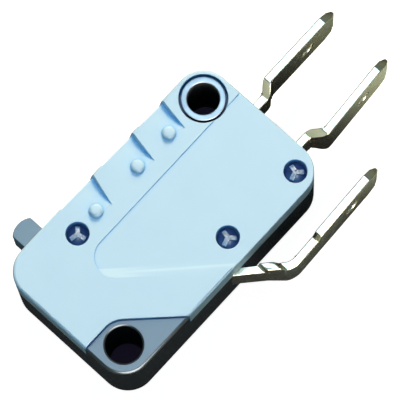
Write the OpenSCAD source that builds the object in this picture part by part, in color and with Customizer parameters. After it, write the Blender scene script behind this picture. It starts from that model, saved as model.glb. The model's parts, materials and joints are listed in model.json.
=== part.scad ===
// Snap-action micro switch of V3 size, lying on its back with the cover up.
// Origin: axis of the lower mounting hole on the back face. +X to the end terminals,
// +Y to the plunger side, +Z out of the cover. All sizes in mm.

/* [Case] */
// Spacing of the two mounting holes along X, which sets the length of the case
hole_dx = 22.2; // [22:0.05:22.4]
// Spacing of the two mounting holes along Y, which sets the height of the case
hole_dy = 10.3; // [10.2:0.05:10.5]
// Distance from each mounting hole to the two sides beside it
hole_edge = 2.8; // [2.7:0.05:2.9]
// Thickness of the case along Z
case_t = 10.3; // [10.2:0.1:11]
// Diameter of the bare lower mounting hole
lower_hole_d = 3.5; // [3.1:0.05:3.6]
// Diameter of the hole through the upper bush
upper_hole_d = 3.1; // [3:0.05:3.2]
// Wall of the bush in the upper hole
bush_wall = 0.46; // [0.4:0.02:0.48]
// Dark ring between the bush and the cover
bush_ring = 0.34; // [0.2:0.02:0.36]
// Chamfer of the bush's rim
bush_chamfer = 0.09; // [0.05:0.01:0.12]
// Chamfer of the lower mounting hole
hole_chamfer = 0.15; // [0.1:0.05:0.4]
// Thickness of the side walls
wall = 1.2; // [1.1:0.05:1.3]
// Thickness of the floor of the base
floor_t = 1.3; // [1.1:0.1:1.4]

/* [Cover] */
// Thickness of the top of the cover
lid_t = 1.3; // [1.2:0.05:1.4]
// Rounding of the top edge of the cover and of the bare corner of the base
edge_r = 0.36; // [0.2:0.02:0.4]
// How far the bare corner of the base lies below the cover
corner_drop = 0.5; // [0.4:0.05:0.8]
// Land of the base left bare round the lower hole
corner_land = 0.55; // [0.5:0.05:0.65]
// Depth of the wide panel in the cover
panel_depth = 0.1; // [0.06:0.01:0.2]
// Distance of the panel's long edge from the plunger side
panel_in = 4.98; // [4.8:0.02:5.1]
// Distance of the panel's sloped edge from the lower hole axis
panel_reach = 6.25; // [6.1:0.05:6.4]
// Breadth of the sloped edge of the panel
panel_slope = 1.1; // [0.9:0.1:1.3]
// Radius of the panel's round corner
panel_r = 2; // [1.8:0.1:2.1]
// Distance of the end wall of each of the three notches from the terminal end
notch_wall_in = [5.48, 9.64, 15.09]; // [5:0.01:16]
// Length of each notch along the plunger side
notch_l = [3.35, 4.3, 4.45]; // [2.5:0.05:4.5]
// Slant of each end wall over the reach of its notch
notch_slant = [0.58, 0.66, 1.02]; // [0.2:0.02:1.1]
// Lean of the end walls of the notches, in degrees
notch_lean = 23; // [15:1:28]
// How far the notches reach in from the plunger side at their end walls
notch_reach = 3.7; // [3.5:0.05:3.8]
// Distance of the deepest line of the notches from the plunger side
notch_mid = 1.1; // [0.5:0.05:1.2]
// Depth of the notches at their end walls
notch_depth = 0.64; // [0.4:0.02:0.7]
// How far the plunger side is set back along the notches
notch_back = 0.16; // [0.05:0.01:0.2]
// Distance of each of the three raised dots from the terminal end
dot_in = [7.45, 11.76, 17.5]; // [7:0.01:18]
// Distance of the dots from the plunger side
dot_down = 2.7; // [2.5:0.02:2.8]
// Diameter of the dots
dot_d = 1.4; // [1.3:0.02:1.5]
// Height of the dots above the cover
dot_h = 0.44; // [0.3:0.02:0.5]
// Place of the plunger's post from the plunger end and the plunger side
plunger_post = [7.55, 2.85]; // [2.8:0.05:7.6]
// Place of the end post from the terminal end and the far side
end_post = [2.15, 2]; // [1.9:0.05:2.3]
// Distance of the middle post from the far side
mid_post = 2.45; // [2.3:0.05:2.5]
// Radius of the cover's holes for the three posts
post_hole_r = 1.13; // [1.1:0.01:1.15]
// How far the posts end below the cover
post_sink = 0.22; // [0.1:0.02:0.3]
// Width of the three ribs on the end of each post
rib_w = 0.44; // [0.3:0.02:0.5]
// Reach of those ribs from the middle of the post
rib_l = 0.82; // [0.7:0.02:1]
// Fall of the ribs from the middle of the post to their ends
rib_fall = 0.32; // [0.2:0.02:0.4]
// Turn of the ribs of the plunger's, the middle and the end post, in degrees
rib_turn = [43, 74, 74]; // [0:1:119]

/* [Terminals] */
// Thickness of the terminal strip
strip_t = 0.8; // [0.75:0.01:0.85]
// Width of the connecting blades along Z
blade_w = 6.3; // [6.1:0.1:6.4]
// Width of the strips where they pass the case wall
root_w = 4.2; // [4:0.05:4.4]
// Height of the lower end terminal in the case wall
lower_root_y = 1.1; // [1:0.02:1.2]
// Spacing of the two end terminals in the case wall
terminal_pitch = 5.46; // [5.3:0.02:5.6]
// Sideways jog of the upper end terminal, to the plunger side
upper_jog = 0.82; // [0.7:0.02:1]
// Sideways jog of the lower end terminal, to the other side
lower_jog = 1.2; // [1:0.05:1.3]
// Length of the narrow neck between the case and the jog
neck_l = 1.85; // [1.7:0.05:2]
// How far the two end blades reach beyond the case
blade_reach = 12.15; // [11.5:0.05:12.5]
// Lean of the lower end blade to the plunger side, in degrees
lower_lean = 3.6; // [0:0.2:4]
// Distance of the common blade from the case
common_gap = 3.5; // [3.4:0.05:3.6]
// Length of the common blade from its bend to its tip
common_l = 12.25; // [11.8:0.05:12.5]
// Slope of the common strip where it leaves the case, in degrees
common_slope = 42; // [41:0.5:43]
// Lean of the common blade to the plunger side, in degrees
common_lean = 2; // [0:0.2:3]
// Diameter of the lock hole of each blade
lock_hole_d = 1.7; // [1.5:0.05:1.8]
// Distance of the lock hole from the tip
lock_hole_in = 4; // [3.6:0.1:4.3]
// Cut of the corners at the tip of each blade
tip_cut = 1.1; // [0.8:0.05:1.3]

/* [Mechanism] */
// Distance of the plunger from the lower hole axis along X
plunger_x = 2; // [1.9:0.05:2.05]
// Width of the plunger along X
plunger_w = 2.5; // [2.4:0.05:2.6]
// How far the free plunger stands out of the case
plunger_out = 2.5; // [2.3:0.05:2.7]
// Rise of the plunger's rounded top
plunger_crown = 0.45; // [0.3:0.05:0.5]
// Width of the rocker along Z
rocker_w = 3.6; // [3.4:0.1:3.7]
// Diameter of the rocker pin
pin_d = 1.2; // [1.1:0.05:1.3]
// Distance of the rocker pin from the plunger along X
pin_in = 7.19; // [7:0.01:7.4]
// Height of the rocker pin over the pivot of the contact arm
pin_rise = 3.07; // [2.9:0.01:3.2]
// Distance of the rocker's nose from its pin along X
nose_in = 3.2; // [3:0.05:3.4]
// Distance of the fork of the common terminal from the rocker pin
fork_in = 1.75; // [1.7:0.01:1.9]
// Distance of the contacts from the terminal end
contact_in = 6.5; // [6.3:0.05:6.7]
// Distance of the spring's hook from the contacts
hook_in = 2.5; // [2.3:0.05:2.7]
// Diameter of the contact faces
contact_d = 3; // [2.8:0.1:3.1]
// Opening between the moving contact and the open fixed contact
contact_gap = 0.6; // [0.5:0.02:0.64]
// Thickness of the contact arm
arm_t = 0.4; // [0.35:0.01:0.45]
// Outside diameter of the tension spring
spring_d = 1.7; // [1.5:0.05:1.75]
// Wire of the tension spring
spring_wire = 0.3; // [0.25:0.01:0.32]
// Turns of the tension spring
spring_turns = 10; // [8:1:11]

/* [Fits] */
// Gap at the seam between cover and base at the cut-out, and at the slots
seam = 0.05; // [0.04:0.01:0.08]
// Running gap of the plunger in its slot and of the rocker on its pin
run = 0.05; // [0.04:0.01:0.08]
// Gap between a contact face and the contact it rests on
touch = 0.03; // [0.02:0.01:0.04]
// Gap of a pressed piece in its seat
press = 0.01; // [0.005:0.005:0.01]
// Room beside the spring in the window of the arm and in the fork
window_gap = 0.2; // [0.15:0.01:0.25]

/* [Hidden] */
$fn = 64;

// the case in X, Y and Z, set by the two holes
case_l = hole_dx + 2 * hole_edge;
case_w = hole_dy + 2 * hole_edge;
corner_r = hole_edge;
left_x = -hole_edge;
right_x = hole_dx + hole_edge;
bottom_y = -hole_edge;
top_y = hole_dy + hole_edge;
mid_z = case_t / 2;
far = 3 * case_l;
bush_r = upper_hole_d / 2 + bush_wall;
cutout_r = lower_hole_d / 2 + corner_land;

// the seam lies just over the strips, so every slot of the base is open to the cover
root_low = mid_z - root_w / 2;
root_high = mid_z + root_w / 2;
split_z = root_high + seam;
lid_z = case_t - lid_t;
corner_z = case_t - corner_drop;
panel_z = case_t - panel_depth;
panel_y = top_y - panel_in;

// overlap of shapes that are one piece
lap = 0.2;

// rocker pin, and the fork and contacts that the arm spans
pin_r = pin_d / 2;
hub_r = pin_r * 2;
pin_x = plunger_x + pin_in;
fork_x = pin_x + fork_in;
contact_x = right_x - contact_in;

// posts that hold the cover, each with the turn of its ribs; the middle one
// stands between the fork and the contacts, nearer the fork
post_r = post_hole_r - seam;
post_boss_r = post_hole_r * 1.1;
posts = [[left_x + plunger_post[0], top_y - plunger_post[1], rib_turn[0]],
    [fork_x * 0.6 + contact_x * 0.4, bottom_y + mid_post, rib_turn[1]],
    [right_x - end_post[0], bottom_y + end_post[1], rib_turn[2]]];

// terminals
upper_root_y = lower_root_y + terminal_pitch;
upper_blade_y = upper_root_y + upper_jog;
lower_blade_y = lower_root_y - lower_jog;
neck_x = right_x + neck_l;
jog_x = neck_x + strip_t * 1.25;
jog_r = strip_t;
common_r = strip_t * 2.5;
shoulder_x = neck_x - strip_t / 5;
tip_x = right_x + blade_reach;
fork_foot_y = bottom_y + wall + strip_t * 0.275;
common_y = bottom_y - common_gap;
common_bend = [fork_x + (fork_foot_y - common_y) / tan(common_slope), common_y];
common_tip_x = common_bend[0] + common_l * cos(common_lean);

// contact stack, symmetric about the arm's middle position
strip_in_x = contact_x - contact_d * 0.57;
pivot_y = (upper_root_y + lower_root_y) / 2;
pivot_x = fork_x + strip_t / 2;
stack = (upper_root_y - lower_root_y - strip_t) / 2;
arm_l = contact_x - pivot_x;
swing = atan(contact_gap / 2 / arm_l);
head_t = (stack - contact_gap / 2 - arm_t / 2 - touch) / 2;
head_bevel = contact_d * 0.08;
shank_r = contact_d / 4;
crown_ball = contact_d * 2.7;
hook_l = arm_l - hook_in;
hook_hole_r = spring_wire * 1.4;
window_w = spring_d + 2 * window_gap;
prong_top = pivot_y + strip_t * 1.1;

// rocker
pin_y = pivot_y + pin_rise;
pad_t = hub_r * 0.92;
pad_y = pin_y + hub_r * 0.58;
nose = [pin_x - nose_in, pivot_y + contact_gap / 2];
nose_r = hook_hole_r * 1.8;
nose_t = spring_wire * 3;

// plunger
foot_r = plunger_w / 2;
foot_y = pad_y + run;
plunger_top = top_y + plunger_out;
lug_top = top_y - wall - run;
lug_h = plunger_w * 0.4;
lug_w = root_w * 1.4;

// rounded outline of the case, drawn in by a margin
module outline(margin) {
    r = corner_r - margin;
    x0 = left_x + margin;
    y0 = bottom_y + margin;
    l = case_l - 2 * margin;
    w = case_w - 2 * margin;
    translate([x0 + r, y0]) square([l - 2 * r, w]);
    translate([x0, y0 + r]) square([l, w - 2 * r]);
    for (x = [x0 + r, x0 + l - r], y = [y0 + r, y0 + w - r])
        translate([x, y]) circle(r);
}

// ground of the lower hole: a square corner, an arc round the hole and a 45 degree edge
module corner_zone(r) {
    circle(r);
    translate([2 * left_x, 2 * bottom_y]) square([2 * hole_edge, 2 * hole_edge + r]);
    rotate(-45) translate([0, -case_w]) square([case_w, case_w + r]);
}

// direction from one point to the next, the turn at a bend and the length the bend takes up
function along(a, b) = (b - a) / norm(b - a);
function turn_at(a, b, c) = let (u = along(a, b), v = along(b, c)) atan2(u[0] * v[1] - u[1] * v[0], u * v);
function setback(a, b, c, r) = r * tan(abs(turn_at(a, b, c)) / 2);
function polar(r, angle) = r * [cos(angle), sin(angle)];

// straight run of a strip between two points, short of them by the two setbacks
module run2d(a, b, t, from, to) {
    u = along(a, b);
    translate(a + from * u) rotate(atan2(u[1], u[0])) translate([0, -t / 2])
        square([norm(b - a) - from - to, t]);
}

// bend of a strip at b, between the runs from a and to c; r is the radius of its middle line
module bend2d(a, b, c, r, t) {
    u = along(a, b);
    turn = turn_at(a, b, c);
    n = sign(turn) * [-u[1], u[0]];
    // the bend runs two degrees into each run, so that the pieces of a strip are one
    tuck = 2 * sign(turn);
    start = atan2(-n[1], -n[0]) - tuck;
    sweep_angle = turn + 2 * tuck;
    reach = 2 * (r + t);
    translate(b - setback(a, b, c, r) * u + r * n) intersection() {
        difference() {
            circle(r + t / 2);
            circle(r - t / 2);
        }
        polygon([[0, 0], polar(reach, start), polar(reach, start + sweep_angle / 2),
            polar(reach, start + sweep_angle)]);
    }
}

// a blade's last run from a to its tip, bevelled on both faces
module tip2d(a, tip, t, from) {
    u = along(a, tip);
    l = norm(tip - a);
    bevel = t * 0.75;
    translate(a) rotate(atan2(u[1], u[0]))
        polygon([[from, -t / 2], [l - bevel, -t / 2], [l, -t / 5], [l, t / 5], [l - bevel, t / 2],
            [from, t / 2]]);
}

// a strip with two bends, seen along Z; p lists its four corners, r1 and r2 are the bend radii
module strip2d(p, r1, r2, t) {
    s1 = setback(p[0], p[1], p[2], r1);
    s2 = setback(p[1], p[2], p[3], r2);
    run2d(p[0], p[1], t, 0, s1);
    bend2d(p[0], p[1], p[2], r1, t);
    run2d(p[1], p[2], t, s1, s2);
    bend2d(p[1], p[2], p[3], r2, t);
    tip2d(p[2], p[3], t, s2);
}

// the three strips; t lets the slots of the base use the same path
module upper_strip(t) strip2d([[strip_in_x, upper_root_y], [neck_x, upper_root_y],
    [jog_x, upper_blade_y], [tip_x, upper_blade_y]], jog_r, jog_r, t);

module lower_strip(t) strip2d([[strip_in_x, lower_root_y], [neck_x, lower_root_y],
    [jog_x, lower_blade_y], [jog_x, lower_blade_y] + polar(tip_x - jog_x, lower_lean)], jog_r, jog_r, t);

module common_strip(t) strip2d([[fork_x, prong_top], [fork_x, fork_foot_y], common_bend,
    common_bend + polar(common_l, common_lean)], jog_r, common_r, t);

// width of an end terminal along its length: root, shoulder, blade and tapered tip
module end_width() {
    half = blade_w / 2;
    root = root_w / 2;
    taper = tip_x - tip_cut * 1.3;
    polygon([[0, -root], [shoulder_x, -root], [jog_x, -half], [taper, -half],
        [tip_x + lap, -half + tip_cut], [tip_x + lap, half - tip_cut], [taper, half],
        [jog_x, half], [shoulder_x, root], [0, root]]);
}

// width of the common terminal: root, raised stop, neck, shoulder, blade and tapered tip
module common_width() {
    half = blade_w / 2;
    root = root_w / 2;
    stop_x = pivot_x + strip_t * 3.75;
    stop_end = stop_x + strip_t * 1.75;
    neck_end = common_bend[0] + common_l * 0.27;
    rise = strip_t / 2;
    low = half - strip_t * 1.1;
    taper = common_tip_x - tip_cut * 1.3;
    polygon([[0, -root], [stop_x, -root], [stop_end, -half], [taper, -half],
        [common_tip_x + lap, -half + tip_cut], [common_tip_x + lap, half - tip_cut], [taper, half],
        [neck_end + rise, half], [neck_end, low], [stop_end, low], [stop_end - rise, half],
        [stop_x, half], [stop_x - rise / 4, root], [0, root]]);
}

// stands a width drawing up along the strip
module along_z() {
    translate([0, far, mid_z]) rotate([90, 0, 0]) linear_extrude(2 * far) children();
}

module strip_slots() {
    translate([0, 0, root_low]) linear_extrude(case_t) {
        upper_strip(strip_t + 2 * seam);
        lower_strip(strip_t + 2 * seam);
        common_strip(strip_t + 2 * seam);
    }
}

// post: a boss under the cover, and in the cover's hole a cone with three ribs
module post(p) {
    top = (p[1] > panel_y ? case_t : panel_z) - post_sink;
    translate([p[0], p[1], floor_t - lap]) cylinder(r = post_boss_r, h = lid_z - floor_t + lap);
    translate([p[0], p[1], lid_z - lap]) {
        cylinder(r = post_r, h = lap * 1.5);
        translate([0, 0, lap * 1.5]) cylinder(r1 = post_r, r2 = rib_w / 2, h = top - lid_z - lap - rib_fall);
        intersection() {
            union() {
                cylinder(r = rib_l, h = top - lid_z + lap - rib_fall);
                translate([0, 0, top - lid_z + lap - rib_fall])
                    cylinder(r1 = rib_l, r2 = rib_w / 2, h = rib_fall);
            }
            for (a = [0, 120, 240]) rotate(p[2] + a)
                translate([-rib_w / 4, -rib_w / 2, 0]) cube([post_r * 2, rib_w, case_t]);
        }
    }
}

module base() color("#30343a") difference() {
    union() {
        difference() {
            linear_extrude(split_z) outline(0);
            translate([0, 0, floor_t]) linear_extrude(case_t) outline(wall);
        }
        linear_extrude(corner_z) intersection() {
            outline(0);
            corner_zone(cutout_r);
        }
        translate([hole_dx, hole_dy, 0]) cylinder(r = corner_r, h = split_z);
        translate([hole_dx, hole_dy, 0]) cylinder(r = bush_r + bush_ring, h = lid_z);
        for (p = posts) post(p);
        translate([pin_x, pin_y, floor_t / 2])
            cylinder(r = hub_r, h = mid_z - rocker_w / 2 - run - floor_t / 2);
    }
    translate([0, 0, -corner_drop]) round_top_edge();
    translate([0, 0, -lap]) cylinder(d = lower_hole_d, h = case_t + 2 * lap);
    translate([0, 0, corner_z - hole_chamfer]) cylinder(d1 = lower_hole_d,
        d2 = lower_hole_d + 2 * (hole_chamfer + lap), h = hole_chamfer + lap);
    translate([hole_dx, hole_dy, -lap]) cylinder(r = bush_r + press, h = case_t + 2 * lap);
    translate([pin_x, pin_y, floor_t / 2]) cylinder(r = pin_r + press, h = case_t);
    strip_slots();
    translate([plunger_x - plunger_w / 2 - run, top_y - wall - lap, root_low - run])
        cube([plunger_w + 2 * run, wall + 2 * lap, case_t]);
}

// cutter that rounds the top edge: a square bar with a round hollow, nearly tangent
module edge_cove() {
    difference() {
        translate([-edge_r, -edge_r]) square(edge_r + lap);
        translate([-edge_r * 0.99, -edge_r * 0.99]) circle(edge_r);
    }
}

module round_top_edge() {
    xs = [left_x + corner_r, right_x - corner_r];
    ys = [bottom_y + corner_r, top_y - corner_r];
    for (s = [0, 1]) {
        translate([s ? right_x : left_x, ys[0], case_t]) mirror([s ? 0 : 1, 0, 0]) rotate([90, 0, 0])
            translate([0, 0, ys[0] - ys[1]]) linear_extrude(ys[1] - ys[0]) edge_cove();
        translate([xs[0], s ? top_y : bottom_y, case_t]) mirror([0, s ? 0 : 1, 0]) rotate([90, 0, 90])
            linear_extrude(xs[1] - xs[0]) edge_cove();
        for (q = [0, 1])
            translate([xs[s], ys[q], case_t]) rotate(s ? (q ? 0 : 270) : (q ? 90 : 180))
                rotate_extrude(angle = 90) translate([corner_r, 0]) edge_cove();
    }
}

// the wide panel: flat floor, sloped 45 degree edge, square long edge with a round corner
module panel_cut() {
    bend_x = panel_reach * sqrt(2) + panel_r * (1 + sqrt(2)) - panel_y;
    bend_y = panel_y - panel_r;
    intersection() {
        translate([0, 0, panel_z]) linear_extrude(case_t) {
            translate([bend_x, 2 * bottom_y]) square([case_l, panel_y - 2 * bottom_y]);
            translate([bend_x, bend_y]) circle(panel_r);
            rotate(-45) translate([(bend_x - bend_y) / sqrt(2), panel_reach - panel_r / 4])
                square([case_w, panel_r * 2]);
        }
        rotate(-45) translate([-far / 2, panel_reach, case_t])
            rotate([-atan(panel_depth / panel_slope), 0, 0]) cube(far);
    }
}

// one notch of the plunger side: a round scoop that falls to the leaning end wall,
// and the side of the cover set back along it
module notch(i) {
    w = right_x - notch_wall_in[i];
    half = notch_reach - notch_mid;
    scoop_r = (half * half + notch_depth * notch_depth) / (2 * notch_depth);
    intersection() {
        translate([w, top_y, case_t]) rotate([0, notch_lean, -atan(notch_slant[i] / notch_reach)])
            translate([-far, -far / 2, -far / 2]) cube(far);
        union() {
            translate([w - notch_l[i], top_y - notch_back, split_z - lap]) cube(far);
            translate([w, top_y - notch_mid, case_t - notch_depth])
                rotate([0, atan(notch_depth / notch_l[i]) - 90, 0])
                    translate([scoop_r, 0, -case_l]) cylinder(r = scoop_r, h = far);
        }
    }
}

// raised dot: a domed cap on the cover, rooted below the floor of the notch beside it
module dot() {
    dome = (dot_d * dot_d / 4 + dot_h * dot_h) / (2 * dot_h);
    root = notch_depth + lap;
    intersection() {
        translate([0, 0, dot_h - dome]) sphere(dome);
        translate([0, 0, -root]) cylinder(r = 2 * dome, h = root + dot_h + lap);
    }
}

module cover() color("#b7def2") difference() {
    union() {
        difference() {
            translate([0, 0, split_z]) linear_extrude(case_t - split_z) difference() {
                outline(0);
                corner_zone(cutout_r + seam);
            }
            translate([0, 0, split_z - lap]) linear_extrude(lid_z - split_z + lap) difference() {
                outline(wall);
                corner_zone(cutout_r + seam + wall);
            }
            round_top_edge();
            panel_cut();
            for (i = [0:2]) notch(i);
        }
        for (x = dot_in) translate([right_x - x, top_y - dot_down, case_t]) dot();
        translate([pin_x, pin_y, mid_z + rocker_w / 2 + run])
            cylinder(r = hub_r, h = lid_z - mid_z - rocker_w / 2);
    }
    for (p = posts) translate([p[0], p[1], 0]) {
        cylinder(r = post_hole_r, h = case_t + dot_h + lap);
        cylinder(r = post_boss_r + seam, h = lid_z);
    }
    translate([hole_dx, hole_dy, split_z - lap]) cylinder(r = bush_r + bush_ring, h = case_t);
    translate([pin_x, pin_y, root_low]) cylinder(r = pin_r + press, h = lid_z + lid_t * 0.3 - root_low);
}

// bright bush, its upper rim chamfered
module mounting_bush() color("#dfe6ea") translate([hole_dx, hole_dy, 0]) rotate_extrude() {
    bore = upper_hole_d / 2;
    top = case_t - seam;
    c = bush_chamfer;
    polygon([[bore, 0], [bush_r, 0], [bush_r, top - c], [bush_r - c, top], [bore + c, top], [bore, top - c]]);
}

// plunger: crowned top, stop lugs under the wall, round foot on the rocker
module plunger() color("#8a97a3") translate([plunger_x, 0, 0]) {
    crown_r = (plunger_w * plunger_w / 4 + plunger_crown * plunger_crown) / (2 * plunger_crown);
    body_y = foot_y + foot_r;
    translate([0, 0, root_low]) linear_extrude(root_w - run) {
        intersection() {
            translate([-plunger_w / 2, body_y]) square([plunger_w, plunger_top - body_y]);
            translate([0, plunger_top - crown_r]) circle(crown_r);
        }
        translate([-plunger_w / 2, body_y]) square([plunger_w, top_y - body_y]);
        translate([0, body_y]) circle(foot_r);
    }
    translate([-plunger_w / 2, lug_top - lug_h, mid_z - lug_w / 2]) cube([plunger_w, lug_h, lug_w]);
}

// rocker: pad under the plunger, hub on the pin, nose for the spring
module rocker() color("#c9c4b4") difference() {
    union() {
        translate([0, 0, mid_z - rocker_w / 2]) linear_extrude(rocker_w) {
            translate([pin_x, pin_y]) circle(hub_r);
            translate([plunger_x - foot_r, pad_y - pad_t]) square([pin_x - plunger_x + foot_r, pad_t]);
        }
        translate([0, 0, mid_z - nose_t / 2]) linear_extrude(nose_t) {
            polygon([[nose[0] - nose_r * 1.6, pad_y - pad_t / 2], [nose[0] - nose_r, nose[1]],
                [nose[0] + nose_r, nose[1]], [nose[0] + nose_r * 2, pad_y - pad_t / 2]]);
            translate(nose) circle(nose_r);
        }
    }
    translate([pin_x, pin_y, 0]) cylinder(r = pin_r + run, h = case_t);
    translate([nose[0], nose[1], 0]) cylinder(r = hook_hole_r, h = case_t);
}

// steel pin between the base and the cover
module rocker_pin() color("#9aa0a6") translate([pin_x, pin_y, floor_t / 2])
    cylinder(r = pin_r, h = lid_z + lid_t / 4 - floor_t / 2);

// moves a piece drawn with the arm level to the arm's rest position
module with_arm() {
    translate([pivot_x, pivot_y, mid_z]) rotate(swing) children();
}

// contact arm: two legs with round ends in the fork's notches, a window for the spring
module contact_arm() color("#b98a52") with_arm() difference() {
    union() {
        translate([0, -arm_t / 2, -root_w / 2]) cube([arm_l + shank_r, arm_t, root_w]);
        translate([0, 0, -root_w / 2]) cylinder(d = arm_t, h = root_w);
        translate([arm_l + shank_r, arm_t / 2, 0]) rotate([90, 0, 0]) cylinder(d = root_w * 0.7, h = arm_t);
    }
    translate([-arm_t, -arm_t, -window_w / 2])
        cube([hook_l - hook_hole_r * 2 + arm_t, 2 * arm_t, window_w]);
    translate([hook_l, arm_t, 0]) rotate([90, 0, 0]) cylinder(r = hook_hole_r, h = 2 * arm_t);
    translate([arm_l, arm_t, 0]) rotate([90, 0, 0]) cylinder(r = shank_r, h = 2 * arm_t);
}

// double contact through the arm
module moving_contact() color("#d5d5cf") with_arm() translate([arm_l, 0, 0]) rotate([90, 0, 0]) {
    cylinder(r = shank_r - press, h = arm_t, center = true);
    for (s = [0, 1]) rotate([180 * s, 0, 0]) translate([0, 0, arm_t / 2]) crowned_head();
}

// head of the moving contact, crowned so that it can rock on the flat one
module crowned_head() {
    intersection() {
        cylinder(d = contact_d, h = head_t * 2);
        translate([0, 0, head_t - crown_ball]) sphere(crown_ball);
    }
}

// flat head of a fixed contact with a bevelled rim, its seat at z = 0
module flat_head() {
    cylinder(d = contact_d, h = head_t - head_bevel);
    translate([0, 0, head_t - head_bevel])
        cylinder(d1 = contact_d, d2 = contact_d - 3 * head_bevel, h = head_bevel);
}

// fixed contact: head, shank through the strip and a flat formed tail
module fixed_contact() {
    flat_head();
    translate([0, 0, -strip_t]) cylinder(r = shank_r - press, h = strip_t + head_t / 2);
    translate([0, 0, -strip_t * 1.4]) cylinder(r = shank_r * 1.4, h = strip_t * 0.4);
}

module nc_contact() color("#d5d5cf")
    translate([contact_x, upper_root_y - strip_t / 2, mid_z]) rotate([90, 0, 0]) fixed_contact();

module no_contact() color("#d5d5cf")
    translate([contact_x, lower_root_y + strip_t / 2, mid_z]) rotate([-90, 0, 0]) fixed_contact();

// cross hole of a strip: the contact's seat or the lock hole
module cross_hole(x, y, d) {
    translate([x, y + 2 * strip_t, mid_z]) rotate([90, 0, 0]) cylinder(d = d, h = 4 * strip_t);
}

module nc_terminal() color("#c9c3a4") difference() {
    intersection() {
        linear_extrude(case_t) upper_strip(strip_t);
        along_z() end_width();
    }
    cross_hole(contact_x, upper_root_y, 2 * shank_r);
    cross_hole(tip_x - lock_hole_in, upper_blade_y, lock_hole_d);
}

module no_terminal() color("#c9c3a4") difference() {
    intersection() {
        linear_extrude(case_t) lower_strip(strip_t);
        along_z() end_width();
    }
    cross_hole(contact_x, lower_root_y, 2 * shank_r);
    translate([jog_x, lower_blade_y, 0]) rotate(lower_lean)
        cross_hole(tip_x - jog_x - lock_hole_in, 0, lock_hole_d);
}

// common terminal: bent strip outside, fork with two notches for the arm inside
module common_terminal() color("#c9c3a4") difference() {
    intersection() {
        linear_extrude(case_t) common_strip(strip_t);
        along_z() common_width();
    }
    translate([fork_x - strip_t, pivot_y - spring_d * 0.8, mid_z - window_w / 2])
        cube([2 * strip_t, case_w, window_w]);
    translate([pivot_x, pivot_y, 0]) cylinder(d = arm_t + 2 * run, h = case_t);
    translate([common_bend[0], common_bend[1], 0]) rotate(common_lean)
        cross_hole(common_l - lock_hole_in, 0, lock_hole_d);
}

// tension spring from the rocker's nose to the arm, swept along one path
spring_r = (spring_d - spring_wire) / 2;
spring_end = [pivot_x + hook_l * cos(swing), pivot_y + hook_l * sin(swing)];
spring_l = norm(spring_end - nose);
spring_turn = atan2(spring_end[1] - nose[1], spring_end[0] - nose[0]);
coil_start = spring_d * 0.94;
coil_l = spring_l - 2 * coil_start;
coil_steps = 16 * spring_turns;

// left loop in the XZ plane through the nose, coil, right loop in the XY plane through the arm
function left_loop(a) = [spring_r * 0.75 * (1 - cos(a)) - spring_wire * 0.6, 0, -spring_r * 0.75 * sin(a)];
function coil(i) = let(a = 360 * spring_turns * i / coil_steps)
    [coil_start + coil_l * i / coil_steps, spring_r * sin(a), spring_r * cos(a)];
function right_loop(a) =
    [spring_l - spring_r * 0.75 * (1 - cos(a)) + spring_wire * 0.6, spring_r * 0.75 * sin(a), 0];

spring_path = concat([for (a = [150:-25:-75]) left_loop(a)], [for (i = [0:coil_steps]) coil(i)],
    [for (a = [-75:25:150]) right_loop(a)]);

module sweep(path, r, n) {
    last = len(path) - 1;
    rings = [for (i = [0:last]) let(
        t = path[min(i + 1, last)] - path[max(i - 1, 0)],
        z = t / norm(t),
        up = abs(z[0]) > 0.9 ? [0, 0, 1] : [1, 0, 0],
        x = cross(up, z) / norm(cross(up, z)),
        y = cross(z, x)
    ) for (k = [0:n - 1]) path[i] + r * (cos(360 * k / n) * x + sin(360 * k / n) * y)];
    sides = [for (i = [0:last - 1], k = [0:n - 1])
        [i * n + k, (i + 1) * n + k, (i + 1) * n + (k + 1) % n, i * n + (k + 1) % n]];
    polyhedron(rings, concat(sides, [[for (k = [0:n - 1]) k]], [[for (k = [n - 1:-1:0]) last * n + k]]), 4);
}

module snap_spring() color("#b8bdc2")
    translate([nose[0], nose[1], mid_z]) rotate(spring_turn) sweep(spring_path, spring_wire / 2, 6);

base();
cover();
mounting_bush();
plunger();
rocker();
rocker_pin();
contact_arm();
moving_contact();
snap_spring();
common_terminal();
nc_terminal();
no_terminal();
nc_contact();
no_contact();
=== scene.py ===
# %% [markdown]
# A snap-action micro switch, dressed
# The switch arrives as a frame: fourteen solid pieces, each at its true size and
# place, riding on four bodies. The work here is what a photographer and a
# finisher would do with it: look at it from the right place, light it, give every
# surface its finish, break the edges and wind the spring smoothly.

# %% Load the frame
import json
import math

import bmesh
import bpy
from mathutils import Matrix, Vector
from mathutils.geometry import interpolate_bezier


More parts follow.
